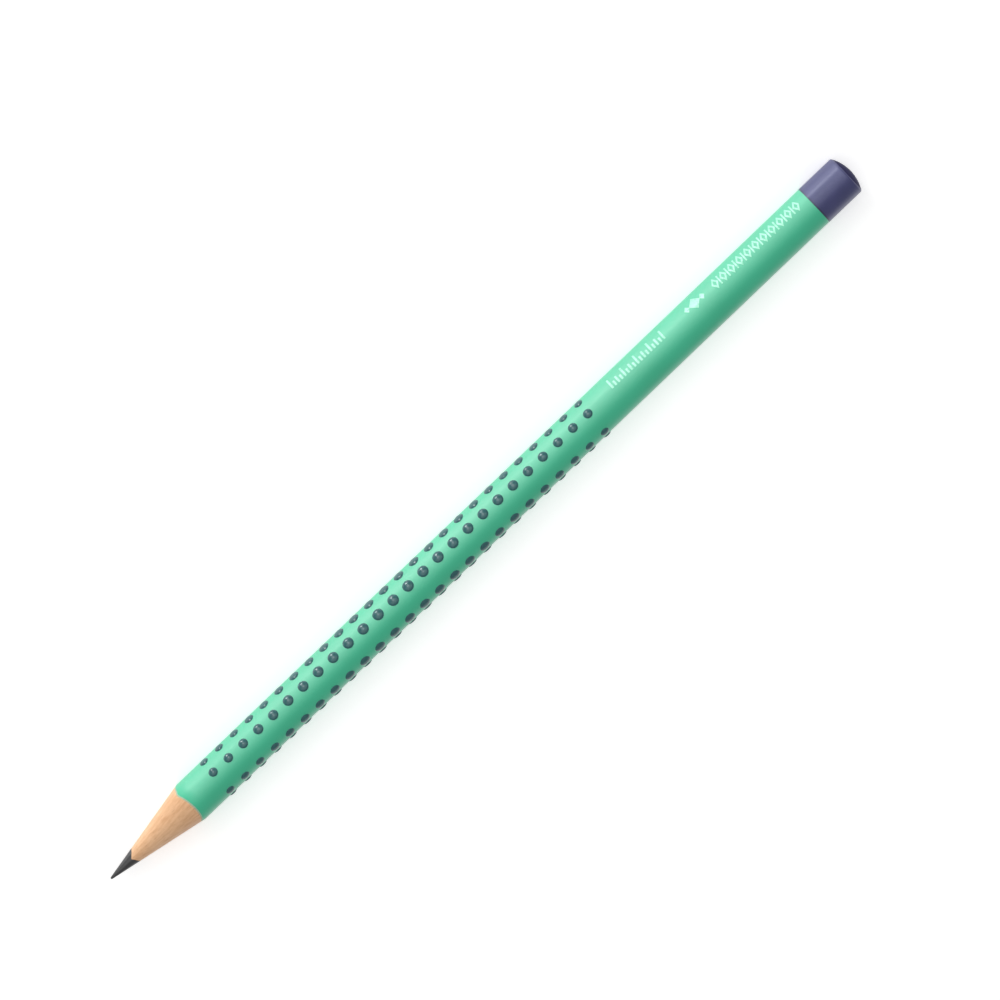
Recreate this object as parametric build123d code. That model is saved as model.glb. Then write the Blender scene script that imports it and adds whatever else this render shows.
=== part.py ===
from build123d import *
import math
import os

# A sharpened, unused graphite pencil with a rounded triangular barrel, raised rubber grip dots
# and a dipped end cap. Millimetres.
#
# Frame: the pencil lies along X with its point towards +X, one flat side down and one rounded
# corner up. The origin is under the middle of the pencil, on the surface that it lies on.
# Stations are distances from the point, measured back along the pencil.

LENGTH = 175.0

# Barrel section: the hull of three circles, one for each rounded corner.
CORNER_OFFSET = 0.27
CORNER_RADIUS = 3.61
SIDES = 3
SIDE_ANGLE = 360 / SIDES

# Coats, from the outside in.
LACQUER = 0.06
PRIMER = 0.05
GLUE = 0.05

# Graphite core, a little off the centre of the sharpened cone.
CORE_DIAMETER = 2.60
CORE_Y = 0.05
CORE_Z = -0.25

# Sharpened cone.
CONE_SLOPE = 0.192
TIP_RADIUS = 0.22

# Dipped end cap.
CAP_STATION = 166.3
CAP_DOME_RADIUS = 7.3
CAP_END_WALL = 0.35

# Raised grip dots: two rows beside each of the three corners.
DOT_RINGS = 26
FIRST_RING_STATION = 25.3
DOT_PITCH = 3.54
DOT_DIAMETER_ENDS = 1.68
DOT_DIAMETER_MIDDLE = 2.05
DOT_HEIGHT = 0.28
DOT_EDGE_HEIGHT = 0.05
DOT_ANGLE = 38.6
DOT_SINK = 0.5

# Pressed foil marks on the side that faces -Y and up: plain ornaments.
FOIL = 0.03
FOIL_ANGLE = 54.5
FOIL_HEIGHT = 2.5
SCALE_STATIONS = (120.0, 132.2)
SCALE_BARS = 17
SCALE_BAR_WIDTH = 0.38
SCALE_BAR_HEIGHTS = (2.1, 1.0, 1.5, 1.0)
EMBLEM_STATION = 140.0
EMBLEM_SPREAD = 1.75
BAND_STATIONS = (143.9, 164.9)
BAND_LOZENGES = 11
BAND_BAR_WIDTH = 0.28
BAND_BAR_HEIGHT = 2.1

CUTTER_REACH = 12.0


def dot_diameter(ring):
    """The dots are largest in the middle of their row."""
    swell = math.sin(math.pi * ring / (DOT_RINGS - 1))
    return DOT_DIAMETER_ENDS + (DOT_DIAMETER_MIDDLE - DOT_DIAMETER_ENDS) * swell


def crown_radius(diameter):
    """Radius of the sphere that a dot's crown is part of."""
    rise = DOT_HEIGHT - DOT_EDGE_HEIGHT
    return ((diameter / 2) ** 2 + rise**2) / (2 * rise)


def underside_reach(diameter):
    """How far below the pencil's axis an underside dot reaches."""
    tilt = math.radians(SIDE_ANGLE / 2 - DOT_ANGLE)
    crown = crown_radius(diameter)
    centre_out = CORNER_RADIUS + DOT_HEIGHT - crown
    return CORNER_OFFSET / 2 + centre_out * math.cos(tilt) + crown


AXIS_HEIGHT = max(underside_reach(dot_diameter(ring)) for ring in range(DOT_RINGS))


def station_x(station):
    return LENGTH / 2 - station


def barrel_prism(depth, front_station, rear_station):
    """The barrel's section, shrunk by depth all round, between two stations."""
    with BuildSketch(Plane.YZ) as section:
        with PolarLocations(CORNER_OFFSET, SIDES, start_angle=90):
            Circle(CORNER_RADIUS - depth)
        make_hull()
    rear = station_x(rear_station)
    return Pos(rear, 0, 0) * extrude(section.sketch, station_x(front_station) - rear)


def envelope(end_wall):
    """The turned outer form: sharpened cone at the front, low dome at the rear."""
    half_angle = math.atan(CONE_SLOPE)
    apex = station_x(0) + TIP_RADIUS / math.sin(half_angle) - TIP_RADIUS
    tangent_x = apex - TIP_RADIUS / math.sin(half_angle) * math.cos(half_angle) ** 2
    tangent_r = (apex - tangent_x) * CONE_SLOPE
    shoulder_r = CORNER_OFFSET + CORNER_RADIUS + 0.5
    shoulder_x = apex - shoulder_r / CONE_SLOPE
    tip_centre = station_x(0) - TIP_RADIUS
    mid_angle = (math.pi / 2 - half_angle) / 2
    tip_mid = (tip_centre + TIP_RADIUS * math.cos(mid_angle), TIP_RADIUS * math.sin(mid_angle))
    dome_radius = CAP_DOME_RADIUS - end_wall
    dome_centre = station_x(LENGTH) + CAP_DOME_RADIUS
    dome_angle = math.asin(shoulder_r / dome_radius)
    rim = (dome_centre - dome_radius * math.cos(dome_angle), shoulder_r)
    dome_mid = (
        dome_centre - dome_radius * math.cos(dome_angle / 2),
        dome_radius * math.sin(dome_angle / 2),
    )
    end = (dome_centre - dome_radius, 0)
    with BuildSketch() as profile:
        with BuildLine():
            ThreePointArc((station_x(0), 0), tip_mid, (tangent_x, tangent_r))
            Line((tangent_x, tangent_r), (shoulder_x, shoulder_r))
            Line((shoulder_x, shoulder_r), rim)
            ThreePointArc(rim, dome_mid, end)
            Line(end, (station_x(0), 0))
        make_face()
    return revolve(profile.sketch, Axis.X)


def core_rod(extra):
    """A full-length rod on the core's axis, thicker than the core by extra all round."""
    rod = Cylinder(CORE_DIAMETER / 2 + extra, LENGTH + 2, rotation=(0, 90, 0))
    return Pos(0, CORE_Y, CORE_Z) * rod


def seam_slab():
    """The glue seam between the two slats, level with the core's axis."""
    return Pos(0, 0, CORE_Z) * Box(LENGTH + 2, 2 * CUTTER_REACH, GLUE)


def half_space(side):
    """Everything above (side 1) or below (side -1) the core's axis."""
    return Pos(0, 0, CORE_Z + side * CUTTER_REACH / 2) * Box(LENGTH + 2, 2 * CUTTER_REACH, CUTTER_REACH)


def wooden_body():
    """The wood, glue and core together, inside the coats."""
    return barrel_prism(LACQUER + PRIMER, 0, LENGTH) & envelope(CAP_END_WALL)


def slat(body, side):
    return (body & half_space(side)) - seam_slab() - core_rod(GLUE)


def glue_film(body):
    return (body & (seam_slab() + core_rod(GLUE))) - core_rod(0)


def coat(outer_depth, inner_depth, rear_station):
    """A thin tube that follows the barrel and is cut off by the sharpener."""
    tube = barrel_prism(outer_depth, 0, rear_station) - barrel_prism(inner_depth, 0, rear_station)
    return tube & envelope(CAP_END_WALL)


def dip_cap():
    outer = barrel_prism(0, CAP_STATION, LENGTH) & envelope(0)
    inner = barrel_prism(LACQUER, CAP_STATION, LENGTH) & envelope(CAP_END_WALL)
    return outer - inner


def grip_dot(diameter):
    """One domed dot about its own Z axis, with its base sunk below Z = 0."""
    radius = diameter / 2
    crown = crown_radius(diameter)
    mid = radius / 2
    mid_height = DOT_HEIGHT - crown + math.sqrt(crown**2 - mid**2)
    with BuildSketch(Plane.XZ) as profile:
        with BuildLine():
            Line((0, -DOT_SINK), (radius, -DOT_SINK))
            Line((radius, -DOT_SINK), (radius, DOT_EDGE_HEIGHT))
            ThreePointArc((radius, DOT_EDGE_HEIGHT), (mid, mid_height), (0, DOT_HEIGHT))
            Line((0, DOT_HEIGHT), (0, -DOT_SINK))
        make_face()
    return revolve(profile.sketch, Axis.Z)


def dot_row():
    """The row beside the top corner on its +Y side, as separate dots that sit on the barrel."""
    angle = math.radians(DOT_ANGLE)
    normal = Vector(0, math.sin(angle), math.cos(angle))
    corner = Cylinder(CORNER_RADIUS, 2 * DOT_DIAMETER_MIDDLE, rotation=(0, 90, 0))
    dots = []
    for ring in range(DOT_RINGS):
        centre = Vector(station_x(FIRST_RING_STATION + ring * DOT_PITCH), 0, CORNER_OFFSET)
        seat = Plane(centre + normal * CORNER_RADIUS, x_dir=(1, 0, 0), z_dir=normal)
        dot = seat.location * grip_dot(dot_diameter(ring))
        dots.append(dot - Location(centre) * corner)
    return dots


def foil_bar(station, width, height, foot=None):
    """An upright bar, centred on the mark's line or standing on a foot below it."""
    middle = 0 if foot is None else foot + height / 2
    return Pos(station, middle) * Rectangle(width, height)


def lozenge(station, length, height):
    corners = [(length / 2, 0), (0, height / 2), (-length / 2, 0), (0, -height / 2)]
    return Pos(station, 0) * Polygon(*corners, align=None)


def scale_mark():
    """A row of upright bars that stand on one line, like a rule's divisions."""
    first, last = SCALE_STATIONS
    pitch = (last - first) / (SCALE_BARS - 1)
    foot = -max(SCALE_BAR_HEIGHTS) / 2
    shapes = []
    for i in range(SCALE_BARS):
        height = SCALE_BAR_HEIGHTS[i % len(SCALE_BAR_HEIGHTS)]
        shapes.append(foil_bar(first + i * pitch, SCALE_BAR_WIDTH, height, foot))
    return shapes


def emblem_mark():
    """A large solid lozenge between two small ones."""
    middle = lozenge(EMBLEM_STATION, FOIL_HEIGHT, FOIL_HEIGHT)
    sides = [lozenge(EMBLEM_STATION + side * EMBLEM_SPREAD, 1.15, 1.4) for side in (-1, 1)]
    return [middle] + sides


def band_mark():
    """Open lozenges with a bar between each pair."""
    first, last = BAND_STATIONS
    pitch = (last - first) / BAND_LOZENGES
    length = 0.74 * pitch
    shapes = []
    for i in range(BAND_LOZENGES):
        station = first + (i + 0.5) * pitch
        opening = lozenge(station, length / 2, FOIL_HEIGHT / 2)
        shapes.append(lozenge(station, length, FOIL_HEIGHT) - opening)
        if i:
            shapes.append(foil_bar(station - pitch / 2, BAND_BAR_WIDTH, BAND_BAR_HEIGHT))
    return shapes


def foil(shapes):
    """Foil in the given flat shapes, wrapped on to the barrel's side."""
    first = SCALE_STATIONS[0] - 2
    last = CAP_STATION
    leaf = barrel_prism(-FOIL, first, last) - barrel_prism(0, first, last)
    angle = math.radians(FOIL_ANGLE)
    outward = (0, -math.sin(angle), math.cos(angle))
    plane = Plane((station_x(0), 0, 0), x_dir=(-1, 0, 0), z_dir=outward)
    pieces = []
    for shape in shapes:
        pieces += (extrude(plane * shape, CUTTER_REACH) & leaf).solids()
    return pieces


def write(name, solids):
    lifted = [Pos(0, 0, AXIS_HEIGHT) * solid for solid in solids]
    shape = lifted[0] if len(lifted) == 1 else Compound(children=lifted)
    export_step(shape, f"parts/{name}.step")


def main():
    os.makedirs("parts", exist_ok=True)
    body = wooden_body()
    write("slat_upper", [slat(body, 1).solid()])
    write("slat_lower", [slat(body, -1).solid()])
    write("glue_film", [glue_film(body).solid()])
    write("graphite_core", [(body & core_rod(0)).solid()])
    write("primer_coat", [coat(LACQUER, LACQUER + PRIMER, LENGTH).solid()])
    write("lacquer_coat", [coat(0, LACQUER, CAP_STATION).solid()])
    write("dip_cap", [dip_cap().solid()])
    right_row = dot_row()
    left_row = [mirror(dot, about=Plane.XZ) for dot in right_row]
    rows = {
        "grip_dots_top_right": (right_row, 0),
        "grip_dots_top_left": (left_row, 0),
        "grip_dots_side_right": (left_row, -SIDE_ANGLE),
        "grip_dots_side_left": (right_row, SIDE_ANGLE),
        "grip_dots_under_right": (right_row, -SIDE_ANGLE),
        "grip_dots_under_left": (left_row, SIDE_ANGLE),
    }
    for name, (row, turn) in rows.items():
        write(name, [(Rot(turn, 0, 0) * dot).solid() for dot in row])
    write("foil_scale_mark", foil(scale_mark()))
    write("foil_emblem_mark", foil(emblem_mark()))
    write("foil_band_mark", foil(band_mark()))


main()
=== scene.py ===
import bpy
import math
import random
from mathutils import Matrix, Vector


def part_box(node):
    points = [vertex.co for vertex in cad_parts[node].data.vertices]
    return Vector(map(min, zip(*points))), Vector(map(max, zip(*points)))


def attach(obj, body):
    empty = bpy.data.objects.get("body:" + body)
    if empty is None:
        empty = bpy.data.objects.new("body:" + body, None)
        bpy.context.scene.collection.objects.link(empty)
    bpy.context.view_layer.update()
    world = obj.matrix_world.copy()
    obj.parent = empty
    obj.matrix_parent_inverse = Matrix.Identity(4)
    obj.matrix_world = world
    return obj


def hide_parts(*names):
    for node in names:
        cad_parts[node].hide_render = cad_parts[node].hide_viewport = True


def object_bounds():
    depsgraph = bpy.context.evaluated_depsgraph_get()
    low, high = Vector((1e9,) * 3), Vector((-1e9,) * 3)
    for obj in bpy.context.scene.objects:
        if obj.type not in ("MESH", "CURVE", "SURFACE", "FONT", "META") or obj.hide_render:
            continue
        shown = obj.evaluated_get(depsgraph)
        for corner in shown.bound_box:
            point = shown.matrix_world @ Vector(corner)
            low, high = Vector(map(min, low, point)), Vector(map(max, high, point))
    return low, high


# A sharpened graphite pencil: its visible pieces rebuilt as fine meshes round the CAD frame, with
# procedural materials. Lengths are millimetres here, and metres once they are in a mesh. The sizes
# and places of the lights, the floor's size and the camera's clip distances are in metres.
#
# Angles round the barrel are degrees from +Z towards +Y, so that 0 is the upper rounded corner.

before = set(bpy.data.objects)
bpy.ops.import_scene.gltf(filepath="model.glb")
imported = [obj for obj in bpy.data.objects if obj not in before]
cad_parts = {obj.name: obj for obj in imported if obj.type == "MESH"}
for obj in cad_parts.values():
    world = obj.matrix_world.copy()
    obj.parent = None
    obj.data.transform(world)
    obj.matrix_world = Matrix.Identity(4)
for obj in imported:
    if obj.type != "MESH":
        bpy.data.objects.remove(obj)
cad_low, cad_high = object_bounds()

MM = 0.001
random.seed(7)

# The barrel's section: the hull of three circles, one for each rounded corner.
CORNER_OFFSET = 0.27
CORNER_RADIUS = 3.61
CORNERS = (0, 120, 240)
SIDE_OFF_CORNER = 60

# The coats on the wood and the glue between its halves. An edge is the greatest depth of the chips
# that the sharpener leaves, and the phase of their ripple.
LACQUER = 0.06
PRIMER = 0.05
GLUE = 0.05
WOOD_DEPTH = LACQUER + PRIMER
LACQUER_EDGE = (0.10, 1.0)
PRIMER_EDGE = (0.05, 3.4)
INNER_CHIP_SHARE = 0.4
LACQUER_LAP = 0.01
BARE_END = 1.3

# The sharpened cone.
CONE_SLOPE = 0.192
TIP_RADIUS = 0.22
HALF_ANGLE = math.atan(CONE_SLOPE)
APEX_GAP = TIP_RADIUS / math.sin(HALF_ANGLE) - TIP_RADIUS

# Graphite dragged over the wood: how far from the axis it reaches at the wood's pointed tongue, how
# much further it reaches on each side, how far it stands ahead of the cone at its edge, and how far
# behind that edge the lead's side begins. The smear's edge is uneven, as a coat's is.
TONGUE_ANGLE = -19.5
TONGUE_REACH = 1.11
SMEAR_LEFT = 0.25
SMEAR_RIGHT = 0.17
SMEAR_LIFT = 0.05
SMEAR_TUCK = 0.15
SMEAR_EDGE = (0.012, 7)

# The dipped end. The rim is stations ahead of the cap's line, each with its depth below the barrel's
# surface, and behind it the cap stands proud of the barrel by its swell. The dark rim's start and full
# tone are distances behind the cap's line. The length of the dome's painted shade, a darker and duller
# copy of the dip's lacquer, is measured from the end.
DOME_RADIUS = 7.3
END_WALL = 0.35
CAP_SWELL = 0.008
CAP_RIM = ((0.02, 0.030), (0, 0.004), (-0.03, -0.014), (-0.10, -0.024), (-0.25, -0.018), (-0.6, -0.010))
CAP_RIM_WIDTH = 1.2
CAP_ROUNDING = 0.22
CAP_ROUNDING_LEAD = 0.45
PAINTED_SHADE_DOME_LENGTH = 0.96
DARK_RIM_START = 0.42
DARK_RIM_FULL = 0.12

# The grip dots.
DOT_RINGS = 26
DOT_DIAMETER_ENDS = 1.68
DOT_DIAMETER_MIDDLE = 2.05
DOT_HEIGHT = 0.28
DOT_ANGLE = 38.6
DOT_CROWN_POWER = 2.3
DOT_FLANK_POWER = 0.62
DOT_SINK = 0.03
DOT_SIZE_SCATTER = 0.015
DOT_PLACE_SCATTER = 0.02
DOT_TURN_SCATTER = 0.4

# The waves of an uneven edge: height, number round the barrel, and share of the phase. The scale is
# close to the square of their greatest sum.
RIPPLE_WAVES = ((1.0, 5, 1.0), (0.7, 11, 2.1), (0.6, 23, 3.7))
RIPPLE_SCALE = 5.3

# Mesh fineness. The lead's rows crowd towards its tip by a power of their share of the radius.
SHARP_ANGLE = 38
CORNER_STEPS = 48
HALF_STEPS = 96
CORE_STEPS = 96
LACQUER_ROWS = 90
PRIMER_ROWS = 12
COAT_INNER_ROWS = 3
CAP_SIDE_ROWS = 8
CAP_ROUNDING_ROWS = 6
CAP_DOME_ROWS = 13
CAP_INNER_ROWS = 6
CONE_ROWS = 36
TIP_ROWS = 40
TIP_CROWDING = 1.6
CORE_SIDE_ROWS = 8
SLAT_SIDE_ROWS = 6
SLAT_END_ROWS = 5
DOT_SEGMENTS = 32
DOT_LEVELS = 9


def node_mm(name):
    """A CAD node's lowest and highest corners, in millimetres."""
    low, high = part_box(name)
    return Vector(low) / MM, Vector(high) / MM


cap_low, cap_high = node_mm("dip_cap")
core_low, core_high = node_mm("graphite_core")
row_low, row_high = node_mm("grip_dots_top_left")

TIP_X = core_high.x
END_X = cap_low.x
CAP_LINE_X = cap_high.x
AXIS_Z = node_mm("lacquer_coat")[1].z - CORNER_OFFSET - CORNER_RADIUS
CORE_RADIUS = (core_high.y - core_low.y) / 2
CORE_Y = (core_high.y + core_low.y) / 2
CORE_Z = (core_high.z + core_low.z) / 2 - AXIS_Z
WOOD_END_X = END_X + END_WALL
FIRST_RING_X = row_high.x - DOT_DIAMETER_ENDS / 2
LAST_RING_X = row_low.x + DOT_DIAMETER_ENDS / 2


# ---------------------------------------------------------------- geometry of the section

def around(angle):
    """Unit direction (y, z) at an angle round the barrel."""
    a = math.radians(angle)
    return math.sin(a), math.cos(a)


def outline(depth):
    """The section's outline, depth below the surface, as (y, z, angle of its normal)."""
    points = []
    radius = CORNER_RADIUS - depth
    for corner in CORNERS:
        cy, cz = around(corner)
        for i in range(CORNER_STEPS + 1):
            angle = corner - SIDE_OFF_CORNER + 2 * SIDE_OFF_CORNER * i / CORNER_STEPS
            ny, nz = around(angle)
            points.append((CORNER_OFFSET * cy + radius * ny, CORNER_OFFSET * cz + radius * nz, angle))
    return points


def section_reach(y, z, depth):
    """Distance from the axis to the section's outline in the direction of (y, z)."""
    repeat = 2 * SIDE_OFF_CORNER
    angle = math.degrees(math.atan2(y, z)) % repeat
    off_corner = math.radians(min(angle, repeat - angle))
    off_side = math.radians(SIDE_OFF_CORNER) - off_corner
    radius = CORNER_RADIUS - depth
    flat = radius + CORNER_OFFSET / 2
    if math.tan(off_side) * flat <= CORNER_OFFSET * math.sin(math.radians(SIDE_OFF_CORNER)):
        return flat / math.cos(off_side)
    across = CORNER_OFFSET * math.sin(off_corner)
    return CORNER_OFFSET * math.cos(off_corner) + math.sqrt(radius**2 - across**2)


def cone_x(radius):
    """Where the sharpened cone has this radius."""
    return TIP_X + APEX_GAP - radius / CONE_SLOPE


def tip_x(radius):
    """The lead's end form: the cone with a small round tip."""
    if radius < TIP_RADIUS * math.cos(HALF_ANGLE):
        return TIP_X - TIP_RADIUS + math.sqrt(TIP_RADIUS**2 - radius**2)
    return cone_x(radius)


def dome_x(radius, inset=0.0):
    """The domed end's surface, or the wood's end under it with an inset."""
    return END_X + DOME_RADIUS - math.sqrt((DOME_RADIUS - inset) ** 2 - radius**2)


# ---------------------------------------------------------------- mesh helpers

def make_piece(name, vertices, faces, material, node):
    """A smooth-shaded mesh piece that rides on the pencil and stands for a CAD node."""
    mesh = bpy.data.meshes.new(name)
    mesh.from_pydata([(x * MM, y * MM, (z + AXIS_Z) * MM) for x, y, z in vertices], [], faces)
    mesh.validate()
    mesh.polygons.foreach_set("use_smooth", [True] * len(mesh.polygons))
    mesh.set_sharp_from_angle(angle=math.radians(SHARP_ANGLE))
    mesh.materials.append(material)
    piece = bpy.data.objects.new(name, mesh)
    bpy.context.scene.collection.objects.link(piece)
    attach(piece, "root")
    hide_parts(node)
    return piece


def loft(columns, closed_round, closed_profile):
    """Vertices and quads from columns of points; the row of columns and each column may be closed."""
    rows = len(columns[0])
    vertices = [point for column in columns for point in column]
    faces = []
    last_column = len(columns) if closed_round else len(columns) - 1
    last_row = rows if closed_profile else rows - 1
    for c in range(last_column):
        d = (c + 1) % len(columns)
        for r in range(last_row):
            s = (r + 1) % rows
            faces.append((c * rows + r, d * rows + r, d * rows + s, c * rows + s))
    return vertices, faces


def spread(start, end, count):
    """count values from start to end, both included."""
    return [start + (end - start) * i / (count - 1) for i in range(count)]


def bend(start, corner, end, share):
    """A value on the quadratic curve from start to end whose tangents meet at the corner."""
    rest = 1 - share
    return rest**2 * start + 2 * share * rest * corner + share * share * end


def ripple(angle, amount, phase):
    """A small, smooth unevenness round the barrel, from 0 to about the amount."""
    a = math.radians(angle)
    total = sum(height * math.sin(count * a + share * phase) for height, count, share in RIPPLE_WAVES)
    return amount * total * total / RIPPLE_SCALE


# ---------------------------------------------------------------- materials

def new_material(name):
    """A new material with its nodes, its links and its Principled shader."""
    material = bpy.data.materials.new(name)
    material.use_nodes = True
    nodes = material.node_tree.nodes
    return material, nodes, material.node_tree.links, nodes["Principled BSDF"]


def object_coordinates(nodes, links, scale):
    """Object coordinates with their own scale along X, Y and Z."""
    coordinates = nodes.new("ShaderNodeTexCoord")
    mapping = nodes.new("ShaderNodeMapping")
    mapping.inputs["Scale"].default_value = scale
    links.new(coordinates.outputs["Object"], mapping.inputs["Vector"])
    return mapping.outputs["Vector"]


def noise(nodes, links, scale, detail, stretch=(1, 1, 1), rough=0.5):
    """Noise from 0 to 1, in cells of about 1/scale metres, longer along an axis with a small stretch."""
    texture = nodes.new("ShaderNodeTexNoise")
    texture.inputs["Scale"].default_value = scale
    texture.inputs["Detail"].default_value = detail
    texture.inputs["Roughness"].default_value = rough
    links.new(object_coordinates(nodes, links, stretch), texture.inputs["Vector"])
    return texture.outputs["Fac"]


def ramp(nodes, links, source, stops):
    """A colour ramp with (position, colour) stops."""
    node = nodes.new("ShaderNodeValToRGB")
    while len(node.color_ramp.elements) < len(stops):
        node.color_ramp.elements.new(0.5)
    for element, (position, colour) in zip(node.color_ramp.elements, stops):
        element.position = position
        element.color = (*colour, 1)
    links.new(source, node.inputs["Fac"])
    return node.outputs["Color"]


def mixed(nodes, links, factor, first, second):
    """first and second are sockets or colours; factor is a socket or a number."""
    node = nodes.new("ShaderNodeMix")
    node.data_type = "RGBA"
    for socket, value in ((node.inputs[0], factor), (node.inputs[6], first), (node.inputs[7], second)):
        if isinstance(value, bpy.types.NodeSocket):
            links.new(value, socket)
        elif isinstance(value, tuple):
            socket.default_value = (*value, 1)
        else:
            socket.default_value = value
    return node.outputs[2]


def ranged(nodes, links, source, low, high, from_low=0.0, from_high=1.0):
    """The source's range from from_low to from_high, spread over low to high and held there."""
    node = nodes.new("ShaderNodeMapRange")
    node.inputs["From Min"].default_value = from_low
    node.inputs["From Max"].default_value = from_high
    node.inputs["To Min"].default_value = low
    node.inputs["To Max"].default_value = high
    links.new(source, node.inputs["Value"])
    return node.outputs["Result"]


def along_mask(nodes, links, from_x, to_x):
    """Rises from 0 to 1 between two stations along the pencil, in mm."""
    coordinates = nodes.new("ShaderNodeTexCoord")
    split = nodes.new("ShaderNodeSeparateXYZ")
    links.new(coordinates.outputs["Object"], split.inputs[0])
    return ranged(nodes, links, split.outputs["X"], 0.0, 1.0, from_x * MM, to_x * MM)


def bumped(nodes, links, shader, layers):
    """Bump from (height socket, depth in millimetres) layers."""
    normal = None
    for height, depth in layers:
        bump = nodes.new("ShaderNodeBump")
        bump.inputs["Strength"].default_value = 1.0
        bump.inputs["Distance"].default_value = depth * MM
        links.new(height, bump.inputs["Height"])
        if normal is not None:
            links.new(normal, bump.inputs["Normal"])
        normal = bump.outputs["Normal"]
    links.new(normal, shader.inputs["Normal"])


def lacquer_material():
    """Smooth mint lacquer: faint drawn streaks along the barrel and a slight orange peel."""
    material, nodes, links, shader = new_material("mint_lacquer")
    patches = noise(nodes, links, 120, 4)
    streaks = noise(nodes, links, 900, 3, (0.03, 1, 1))
    tone = ramp(nodes, links, patches, [(0.3, (0.005, 0.452, 0.238)), (0.7, (0.007, 0.488, 0.262))])
    tone = mixed(nodes, links, ranged(nodes, links, streaks, 0.0, 0.25), tone, (0.017, 0.51, 0.286))
    links.new(tone, shader.inputs["Base Color"])
    links.new(ranged(nodes, links, streaks, 0.40, 0.46), shader.inputs["Roughness"])
    shader.inputs["IOR"].default_value = 1.65
    shader.inputs["Anisotropic"].default_value = 0.9
    shader.inputs["Sheen Weight"].default_value = 0.32
    shader.inputs["Sheen Roughness"].default_value = 0.33
    tangent = nodes.new("ShaderNodeTangent")
    tangent.direction_type = "RADIAL"
    tangent.axis = "X"
    links.new(tangent.outputs["Tangent"], shader.inputs["Tangent"])
    shader.inputs["Coat Weight"].default_value = 0.6
    shader.inputs["Coat IOR"].default_value = 1.5
    shader.inputs["Coat Roughness"].default_value = 0.42
    peel = noise(nodes, links, 1600, 2)
    bumped(nodes, links, shader, [(streaks, 0.0018), (peel, 0.0012)])
    return material


def dip_material():
    """Blue-violet dipped lacquer, darker along its rim."""
    material, nodes, links, shader = new_material("violet_dip")
    patches = noise(nodes, links, 260, 4)
    tone = ramp(nodes, links, patches, [(0.3, (0.025, 0.027, 0.108)), (0.7, (0.033, 0.034, 0.130))])
    rim_mask = along_mask(nodes, links, CAP_LINE_X - DARK_RIM_START, CAP_LINE_X - DARK_RIM_FULL)
    tone = mixed(nodes, links, rim_mask, tone, (0.008, 0.012, 0.042))
    links.new(tone, shader.inputs["Base Color"])
    links.new(ranged(nodes, links, patches, 0.40, 0.47), shader.inputs["Roughness"])
    shader.inputs["IOR"].default_value = 1.8
    shader.inputs["Specular Tint"].default_value = (0.74, 0.77, 1.0, 1)
    shader.inputs["Coat Weight"].default_value = 0.15
    shader.inputs["Coat Roughness"].default_value = 0.3
    sag = noise(nodes, links, 420, 2)
    bumped(nodes, links, shader, [(sag, 0.006)])
    return material


def painted_shade_dome_material():
    """Painted shade on the dipped end's dome: a darker, duller copy of the dip's lacquer."""
    material, nodes, links, shader = new_material("violet_dip_end_painted_shade")
    patches = noise(nodes, links, 260, 4)
    # Painted shade: the dip's blue-violet darkened, with a weaker reflection below.
    tone = ramp(nodes, links, patches, [(0.3, (0.010, 0.008, 0.062)), (0.7, (0.014, 0.012, 0.080))])
    links.new(tone, shader.inputs["Base Color"])
    shader.inputs["Roughness"].default_value = 0.5
    shader.inputs["IOR"].default_value = 1.15
    sag = noise(nodes, links, 420, 2)
    bumped(nodes, links, shader, [(sag, 0.006)])
    return material


def rubber_material():
    """Soft, slightly dusty rubber of the raised dots."""
    material, nodes, links, shader = new_material("grip_rubber")
    dust = noise(nodes, links, 2400, 4)
    tone = ramp(nodes, links, dust, [(0.3, (0.018, 0.094, 0.098)), (0.75, (0.028, 0.120, 0.128))])
    links.new(tone, shader.inputs["Base Color"])
    links.new(ranged(nodes, links, dust, 0.18, 0.26), shader.inputs["Roughness"])
    shader.inputs["IOR"].default_value = 1.5
    shader.inputs["Sheen Weight"].default_value = 0.05
    shader.inputs["Sheen Roughness"].default_value = 0.4
    bumped(nodes, links, shader, [(dust, 0.004)])
    return material


def wood_material():
    """Sharpened basswood: straight grain along the pencil, pores, and a knife-cut surface."""
    material, nodes, links, shader = new_material("basswood")
    bands = noise(nodes, links, 420, 3, (0.05, 1, 1))
    fibres = noise(nodes, links, 2600, 4, (0.035, 1, 1), 0.6)
    pores = noise(nodes, links, 5200, 2, (0.06, 1, 1))
    band_tones = [(0.3, (0.70, 0.368, 0.172)), (0.5, (0.80, 0.455, 0.232)), (0.7, (0.86, 0.525, 0.298))]
    tone = ramp(nodes, links, bands, band_tones)
    fibre_tone = ramp(nodes, links, fibres, [(0.35, (0.49, 0.25, 0.118)), (0.6, (0.76, 0.50, 0.31))])
    tone = mixed(nodes, links, 0.35, tone, fibre_tone)
    pore_mask = ranged(nodes, links, pores, 0.0, 0.5, 0.62, 0.74)
    tone = mixed(nodes, links, pore_mask, tone, (0.42, 0.19, 0.085))
    links.new(tone, shader.inputs["Base Color"])
    links.new(ranged(nodes, links, fibres, 0.5, 0.68), shader.inputs["Roughness"])
    shader.inputs["IOR"].default_value = 1.45
    shader.inputs["Sheen Weight"].default_value = 0.30
    shader.inputs["Sheen Roughness"].default_value = 0.5
    knife = noise(nodes, links, 1500, 3, (1, 0.15, 0.15))
    bumped(nodes, links, shader, [(fibres, 0.020), (knife, 0.006)])
    return material


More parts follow.
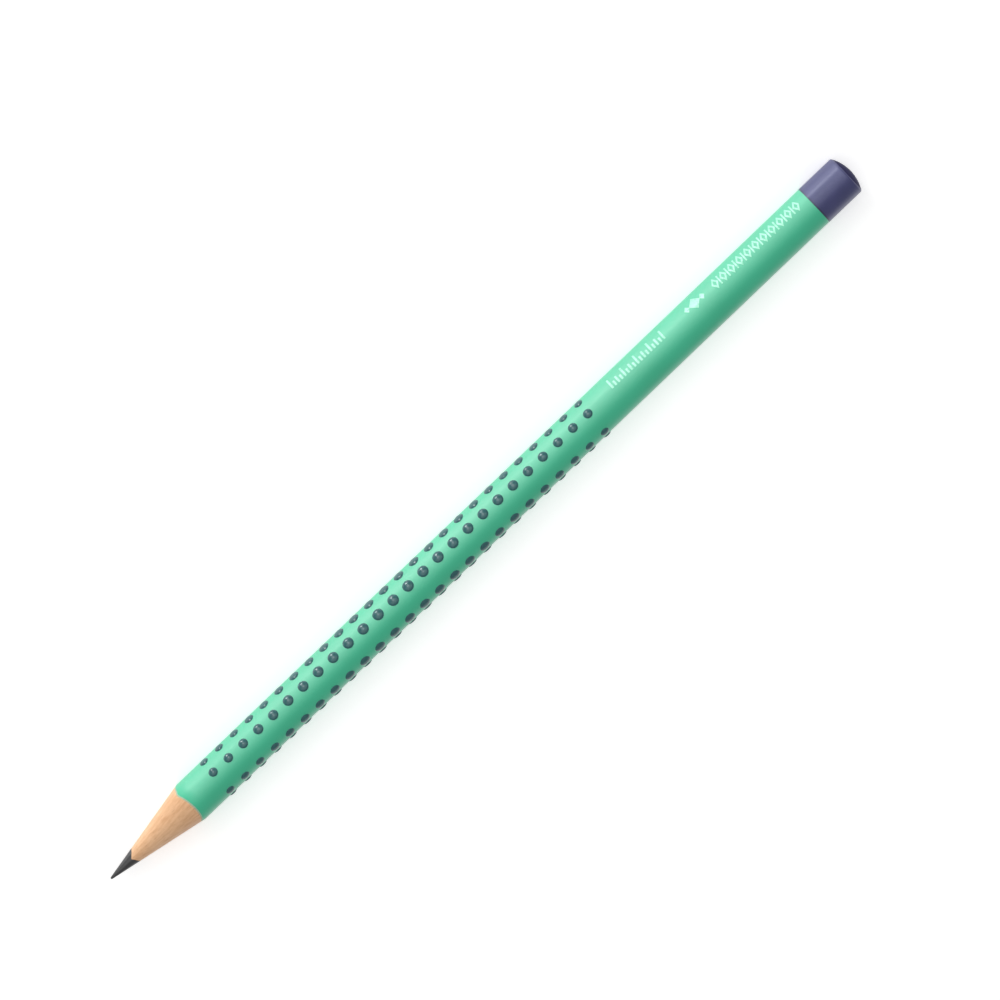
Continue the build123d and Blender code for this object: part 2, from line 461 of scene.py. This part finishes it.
def graphite_material():
    """Sharpened graphite: dark grey with a soft metallic sheen and fine turning marks."""
    material, nodes, links, shader = new_material("graphite")
    grain = noise(nodes, links, 5200, 4)
    turning = noise(nodes, links, 5200, 3, (1, 0.08, 0.08))
    tone = ramp(nodes, links, grain, [(0.3, (0.010, 0.010, 0.011)), (0.7, (0.030, 0.030, 0.032))])
    links.new(tone, shader.inputs["Base Color"])
    links.new(ranged(nodes, links, turning, 0.27, 0.42), shader.inputs["Roughness"])
    shader.inputs["Metallic"].default_value = 0.25
    shader.inputs["IOR"].default_value = 1.9
    bumped(nodes, links, shader, [(turning, 0.010), (grain, 0.004)])
    return material


def primer_material():
    """Matt pale undercoat, seen as a hairline at the sharpened edge."""
    material, nodes, links, shader = new_material("primer")
    chalk = noise(nodes, links, 3000, 3)
    tone = ramp(nodes, links, chalk, [(0.3, (0.34, 0.42, 0.30)), (0.7, (0.44, 0.52, 0.38))])
    links.new(tone, shader.inputs["Base Color"])
    shader.inputs["Roughness"].default_value = 0.75
    bumped(nodes, links, shader, [(chalk, 0.004)])
    return material


def glue_material():
    """A dried, slightly yellow glue line."""
    material, nodes, links, shader = new_material("wood_glue")
    cloud = noise(nodes, links, 1500, 3)
    tone = ramp(nodes, links, cloud, [(0.3, (0.46, 0.30, 0.16)), (0.7, (0.56, 0.38, 0.22))])
    links.new(tone, shader.inputs["Base Color"])
    shader.inputs["Roughness"].default_value = 0.5
    return material


def foil_material():
    """Pale hot-pressed foil, a little worn and thin in places."""
    material, nodes, links, shader = new_material("pale_foil")
    wear = noise(nodes, links, 2600, 4)
    tone = ramp(nodes, links, wear, [(0.34, (0.22, 0.70, 0.47)), (0.5, (0.38, 0.84, 0.64))])
    links.new(tone, shader.inputs["Base Color"])
    links.new(ranged(nodes, links, wear, 0.42, 0.28), shader.inputs["Roughness"])
    shader.inputs["IOR"].default_value = 1.5
    bumped(nodes, links, shader, [(wear, 0.003)])
    return material


def floor_material():
    """Plain pale paper with a slight glow, so that it stays as pale as a lit backdrop."""
    material, nodes, links, shader = new_material("pale_floor")
    fibre = noise(nodes, links, 90, 4)
    tone = ramp(nodes, links, fibre, [(0.3, (0.93, 0.93, 0.93)), (0.7, (0.95, 0.95, 0.95))])
    links.new(tone, shader.inputs["Base Color"])
    shader.inputs["Roughness"].default_value = 0.9
    shader.inputs["Specular IOR Level"].default_value = 0.2
    shader.inputs["Emission Color"].default_value = (1.0, 1.0, 1.0, 1)
    shader.inputs["Emission Strength"].default_value = FLOOR_GLOW
    return material


# ---------------------------------------------------------------- pieces

def coat_piece(name, node, material, depths, rear_x, edge, rows):
    """A coat of paint round the barrel between two depths, cut to a chipped edge by the sharpener."""
    columns = []
    outer, inner = depths
    for (y, z, angle), (iy, iz, _) in zip(outline(outer), outline(inner)):
        chip = ripple(angle, *edge)
        front = cone_x(math.hypot(y, z)) - chip
        inner_front = cone_x(math.hypot(iy, iz)) - chip * INNER_CHIP_SHARE
        column = [(x, y, z) for x in spread(rear_x, front, rows)]
        column += [(x, iy, iz) for x in spread(inner_front, rear_x, COAT_INNER_ROWS)]
        columns.append(column)
    vertices, faces = loft(columns, True, True)
    make_piece(name, vertices, faces, material, node)


def cap_profile(y, z):
    """The cap's profile at one place round it, as (x, share of the section's reach, depth)."""
    reach = math.hypot(y, z)
    rear = dome_x(reach)
    dome_reach = reach - CAP_ROUNDING
    rim = [(CAP_LINE_X + ahead, 1.0, depth) for ahead, depth in CAP_RIM]
    side_xs = spread(CAP_LINE_X - CAP_RIM_WIDTH, rear + CAP_ROUNDING_LEAD, CAP_SIDE_ROWS)
    side = [(x, 1.0, -CAP_SWELL) for x in side_xs]
    rounding = []
    for share in spread(0.0, 1.0, CAP_ROUNDING_ROWS):
        x = bend(rear + CAP_ROUNDING, rear, dome_x(dome_reach), share)
        r = bend(reach, reach, dome_reach, share)
        rounding.append((x, r / reach, -CAP_SWELL * (1 - share)))
    dome_shares = spread(dome_reach / reach, 0.0, CAP_DOME_ROWS)[1:-1]
    dome = [(dome_x(reach * share), share, 0.0) for share in dome_shares]
    return rim + side + rounding + dome


def inner_cap_profile(y, z):
    """The hollow that the wood's end fills, as (x, share of the section's reach)."""
    reach = math.hypot(y, z)
    dome = [(dome_x(reach * share, END_WALL), share) for share in spread(0.0, 1.0, CAP_INNER_ROWS)[1:]]
    return dome + [(CAP_LINE_X + CAP_RIM[0][0], 1.0)]


def cap_piece(material, end_material):
    """The dipped end: a shell of lacquer with painted shade on its dome, hollow for the wood."""
    columns = []
    for (y, z, angle), (iy, iz, _) in zip(outline(0), outline(LACQUER)):
        ny, nz = around(angle)
        outside = []
        for x, share, depth in cap_profile(y, z):
            outside.append((x, y * share - ny * depth, z * share - nz * depth))
        inside = [(x, iy * share, iz * share) for x, share in inner_cap_profile(iy, iz)]
        columns.append(outside + inside)
    rows = len(columns[0])
    vertices, faces = loft(columns, True, True)
    # The two domes are closed at their poles instead of being joined to each other there.
    gap_row = len(outside) - 1
    faces = [face for face in faces if face[0] % rows != gap_row]
    pole = len(vertices)
    vertices += [(END_X, 0, 0), (WOOD_END_X, 0, 0)]
    for c in range(len(columns)):
        d = (c + 1) % len(columns)
        faces.append((c * rows + gap_row, d * rows + gap_row, pole))
        faces.append((d * rows + gap_row + 1, c * rows + gap_row + 1, pole + 1))
    cap = make_piece("dipped_end_cap", vertices, faces, material, "dip_cap")
    cap.data.materials.append(end_material)
    # The faces near the end take the second material, the dome's painted shade.
    for polygon in cap.data.polygons:
        if polygon.center.x < (END_X + PAINTED_SHADE_DOME_LENGTH) * MM:
            polygon.material_index = 1


def wood_reach(ny, nz):
    """Distance from the core's centre to the wood's outline, in the direction (ny, nz)."""
    low, high = 0.0, 2 * CORNER_RADIUS
    for _ in range(40):
        middle = (low + high) / 2
        y, z = CORE_Y + middle * ny, CORE_Z + middle * nz
        if math.hypot(y, z) < section_reach(y, z, WOOD_DEPTH):
            low = middle
        else:
            high = middle
    return low


def slat_piece(name, side, node, material):
    """One wooden half: grooved for the core, milled outside, sharpened to a cone at the front."""
    groove = CORE_RADIUS + GLUE
    columns = []
    for i in range(HALF_STEPS + 1):
        angle = math.radians(180 * i / HALF_STEPS)
        ny, nz = math.cos(angle), side * math.sin(angle)
        lift = side * GLUE / 2 if i in (0, HALF_STEPS) else 0.0
        far = wood_reach(ny, nz)
        # Out over the cone, back along the outside, in over the end, and forward along the groove.
        column = []
        for q in spread(groove, far, CONE_ROWS):
            y, z = CORE_Y + q * ny, CORE_Z + q * nz + lift
            column.append((cone_x(math.hypot(y, z)), y, z))
        front_x, y, z = column[-1]
        end_x = dome_x(math.hypot(y, z), END_WALL)
        column += [(x, y, z) for x in spread(front_x, end_x, SLAT_SIDE_ROWS)[1:]]
        for q in spread(far, groove, SLAT_END_ROWS)[1:]:
            y, z = CORE_Y + q * ny, CORE_Z + q * nz + lift
            column.append((dome_x(math.hypot(y, z), END_WALL), y, z))
        end_x, y, z = column[-1]
        column += [(x, y, z) for x in spread(end_x, column[0][0], SLAT_SIDE_ROWS)[1:-1]]
        columns.append(column if side < 0 else column[::-1])
    vertices, faces = loft(columns, False, True)
    rows = len(columns[0])
    last = (len(columns) - 1) * rows
    faces.append(tuple(range(rows)))
    faces.append(tuple(last + r for r in reversed(range(rows))))
    make_piece(name, vertices, faces, material, node)


def core_reach(ny, nz):
    """Distance from the pencil's axis to the core's surface."""
    along = CORE_Y * ny + CORE_Z * nz
    return along + math.sqrt(CORE_RADIUS**2 - CORE_Y**2 - CORE_Z**2 + along**2)


def smear_reach(angle):
    """How far from the axis graphite reaches over the wood: least at the pointed tongue of wood."""
    off = (angle - TONGUE_ANGLE + 180) % 360 - 180
    spread_out = SMEAR_LEFT if off < 0 else SMEAR_RIGHT
    return TONGUE_REACH + spread_out * abs(math.sin(math.radians(off)))


def core_piece(material):
    """The full-length lead, ground to a cone with a small round tip, and its smear over the wood."""
    columns = []
    for i in range(CORE_STEPS):
        angle = 360 * i / CORE_STEPS
        ny, nz = around(angle)
        reach = core_reach(ny, nz)
        smear = max(reach, smear_reach(angle) + ripple(angle, *SMEAR_EDGE))
        column = []
        for share in spread(0.0, 1.0, TIP_ROWS)[1:]:
            radius = smear * share**TIP_CROWDING
            lift = SMEAR_LIFT * share**4
            column.append((tip_x(radius) + lift, radius * ny, radius * nz))
        tuck_x = column[-1][0] - SMEAR_TUCK
        side_xs = spread(tuck_x, dome_x(reach, END_WALL), CORE_SIDE_ROWS)[1:]
        column += [(x, reach * ny, reach * nz) for x in side_xs]
        columns.append(column)
    vertices, faces = loft(columns, True, False)
    rows = len(columns[0])
    tip, end = len(vertices), len(vertices) + 1
    vertices += [(TIP_X, 0, 0), (WOOD_END_X, CORE_Y, CORE_Z)]
    for c in range(len(columns)):
        d = (c + 1) % len(columns)
        faces.append((d * rows, c * rows, tip))
        faces.append((c * rows + rows - 1, d * rows + rows - 1, end))
    make_piece("pencil_lead", vertices, faces, material, "graphite_core")


def dot_diameter(ring):
    """The dots grow from both ends of a row to its middle."""
    swell = math.sin(math.pi * ring / (DOT_RINGS - 1))
    return DOT_DIAMETER_ENDS + (DOT_DIAMETER_MIDDLE - DOT_DIAMETER_ENDS) * swell


def dot_rise(share):
    """A dot's height at a share of its radius: a broad crown with steep flanks."""
    return DOT_HEIGHT * (1 - share**DOT_CROWN_POWER) ** DOT_FLANK_POWER


def dot_mesh(vertices, faces, x, corner, angle, diameter):
    """One dome that follows the curve of the barrel, closed underneath."""
    cy, cz = (CORNER_OFFSET * part for part in around(corner))
    radius = diameter / 2
    levels = [(share, dot_rise(share)) for share in spread(0.0, 1.0, DOT_LEVELS)[1:]]
    levels.append((1.0, -DOT_SINK))
    first = len(vertices)

    def place(share, turn, rise):
        """A point at a share of the radius and a turn round the dot's middle, above the barrel."""
        along = radius * share * math.cos(turn)
        across = math.degrees(radius * share * math.sin(turn) / CORNER_RADIUS)
        ny, nz = around(angle + across)
        out = CORNER_RADIUS + rise
        return (x + along, cy + out * ny, cz + out * nz)

    vertices.append(place(0, 0, DOT_HEIGHT))
    for share, rise in levels:
        vertices += [place(share, 2 * math.pi * i / DOT_SEGMENTS, rise) for i in range(DOT_SEGMENTS)]
    vertices.append(place(0, 0, -DOT_SINK))
    last = len(vertices) - 1
    for i in range(DOT_SEGMENTS):
        j = (i + 1) % DOT_SEGMENTS
        faces.append((first, first + 1 + i, first + 1 + j))
        for level in range(len(levels) - 1):
            a = first + 1 + level * DOT_SEGMENTS
            b = a + DOT_SEGMENTS
            faces.append((a + i, b + i, b + j, a + j))
        a = first + 1 + (len(levels) - 1) * DOT_SEGMENTS
        faces.append((a + i, last, a + j))


def dot_row(node, corner, angle, material):
    """A row of grip dots, each its own dome, with slight differences in size and place."""
    vertices, faces = [], []
    for ring in range(DOT_RINGS):
        x = FIRST_RING_X + (LAST_RING_X - FIRST_RING_X) * ring / (DOT_RINGS - 1)
        diameter = dot_diameter(ring) * random.uniform(1 - DOT_SIZE_SCATTER, 1 + DOT_SIZE_SCATTER)
        x += random.uniform(-DOT_PLACE_SCATTER, DOT_PLACE_SCATTER)
        turned = angle + random.uniform(-DOT_TURN_SCATTER, DOT_TURN_SCATTER)
        dot_mesh(vertices, faces, x, corner, turned, diameter)
    name = node.replace("grip_dots", "rubber_dots")
    make_piece(name, vertices, faces, material, node)


# Each row's corner of the section, and the angle that it is at.
DOT_ROWS = {
    "grip_dots_top_right": (0, DOT_ANGLE),
    "grip_dots_top_left": (0, -DOT_ANGLE),
    "grip_dots_side_right": (120, 120 - DOT_ANGLE),
    "grip_dots_side_left": (240, 240 + DOT_ANGLE),
    "grip_dots_under_right": (120, 120 + DOT_ANGLE),
    "grip_dots_under_left": (240, 240 - DOT_ANGLE),
}


def build_pencil():
    """All the pieces. The foil marks and the glue keep their CAD shapes."""
    wood = wood_material()
    rubber = rubber_material()
    coat_piece(
        "mint_lacquer_coat", "lacquer_coat", lacquer_material(),
        (0, LACQUER), CAP_LINE_X - LACQUER_LAP, LACQUER_EDGE, LACQUER_ROWS,
    )
    coat_piece(
        "primer_undercoat", "primer_coat", primer_material(),
        (LACQUER, WOOD_DEPTH), WOOD_END_X + BARE_END, PRIMER_EDGE, PRIMER_ROWS,
    )
    cap_piece(dip_material(), painted_shade_dome_material())
    slat_piece("wood_upper_half", 1, "slat_upper", wood)
    slat_piece("wood_lower_half", -1, "slat_lower", wood)
    core_piece(graphite_material())
    for node, (corner, angle) in DOT_ROWS.items():
        dot_row(node, corner, angle, rubber)
    foil = foil_material()
    for node in ("foil_scale_mark", "foil_emblem_mark", "foil_band_mark"):
        paint_node(node, foil)
    paint_node("glue_film", glue_material())


def paint_node(node, material):
    """A CAD node whose shape stays gets its procedural material."""
    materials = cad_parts[node].data.materials
    materials.clear()
    materials.append(material)


# ---------------------------------------------------------------- stage, light and camera

# The view: its angle from +Z towards -Y, the pencil's slope in it, its width at the pencil, and how
# far its centre is to the right of the pencil's middle and above it.
VIEW_TILT = 19.5
VIEW_ROLL = 43.7346
VIEW_WIDTH = 170.9
VIEW_OFFSET = (3.27, 4.23)
LENS = 600.0
SENSOR = 36.0
CLIP_START = 0.05
CLIP_END = 20

ROOM_LIGHT = 0.46
FLOOR_GLOW = 0.405
FLOOR_HALF = 3.0
FLOOR_STEPS = 12

# The lights on the camera's side: angle from +Z towards -Y, distance, size along the pencil and
# across it, and radiance.
LIGHTS = {
    "key_grazing": (91, 2.0, (0.25, 0.5), 62.0),
    "key_high": (56, 2.0, (0.3, 1.10), 4.9),
    "top": (30, 1.0, (1.2, 0.8), 1.05),
}

# A card that lies on the floor beside the pencil and shines up.
BOUNCE_PLACE = (0, -0.0665, 0.0005)
BOUNCE_SIZE = (0.34, 0.12)
BOUNCE_RADIANCE = 0.53


def make_floor():
    """A large pale sheet that the pencil lies on."""
    mesh = bpy.data.meshes.new("floor")
    places = spread(-FLOOR_HALF, FLOOR_HALF, FLOOR_STEPS + 1)
    columns = [[(x, y, cad_low.z) for y in places] for x in places]
    vertices, faces = loft(columns, False, False)
    mesh.from_pydata(vertices, [], faces)
    mesh.materials.append(floor_material())
    floor = bpy.data.objects.new("floor", mesh)
    bpy.context.scene.collection.objects.link(floor)


def off_vertical(degrees):
    """Unit direction at an angle from +Z towards -Y, the side that the camera is on."""
    angle = math.radians(degrees)
    return Vector((0, -math.sin(angle), math.cos(angle)))


def aim(thing, side, up, back):
    """Turns an object so that its own axes point along these three directions."""
    thing.rotation_mode = "QUATERNION"
    thing.rotation_quaternion = Matrix((side, up, back)).transposed().to_quaternion()


def make_light(name, back, place, size, radiance):
    """A soft rectangular light, invisible to the camera, that shines away from its back."""
    data = bpy.data.lights.new(name, "AREA")
    data.shape = "RECTANGLE"
    data.size, data.size_y = size
    data.energy = radiance * math.pi * size[0] * size[1]
    light = bpy.data.objects.new(name, data)
    light.location = place
    side = Vector((1, 0, 0))
    aim(light, side, back.cross(side), back)
    light.visible_camera = False
    bpy.context.scene.collection.objects.link(light)


def make_lights():
    """Even room light, a grazing and a high light from the camera's side, a top light and a low card."""
    world = bpy.data.worlds.new("studio")
    world.use_nodes = True
    background = world.node_tree.nodes["Background"]
    background.inputs["Color"].default_value = (1.0, 1.0, 1.0, 1)
    background.inputs["Strength"].default_value = ROOM_LIGHT
    bpy.context.scene.world = world
    for name, (degrees, distance, size, radiance) in LIGHTS.items():
        back = off_vertical(degrees)
        make_light(name, back, back * distance, size, radiance)
    make_light("bounce", off_vertical(180), BOUNCE_PLACE, BOUNCE_SIZE, BOUNCE_RADIANCE)


def make_camera():
    """Looks square on to the pencil from above its -Y side, through a long lens."""
    data = bpy.data.cameras.new("camera")
    data.lens = LENS
    data.sensor_width = SENSOR
    data.clip_start = CLIP_START
    data.clip_end = CLIP_END
    back = off_vertical(VIEW_TILT)
    along = Vector((-1, 0, 0))
    across = along.cross(back)
    roll = math.radians(VIEW_ROLL)
    right = along * math.cos(roll) + across * math.sin(roll)
    up = along * math.sin(roll) - across * math.cos(roll)
    centre = Vector(((TIP_X + END_X) / 2, 0, AXIS_Z))
    target = centre + right * VIEW_OFFSET[0] + up * VIEW_OFFSET[1]
    distance = VIEW_WIDTH * LENS / SENSOR
    camera = bpy.data.objects.new("camera", data)
    camera.location = (target + back * distance) * MM
    aim(camera, right, up, back)
    bpy.context.scene.collection.objects.link(camera)
    bpy.context.scene.camera = camera


bpy.context.scene.view_settings.view_transform = "Standard"
make_camera()
make_floor()
make_lights()
build_pencil()
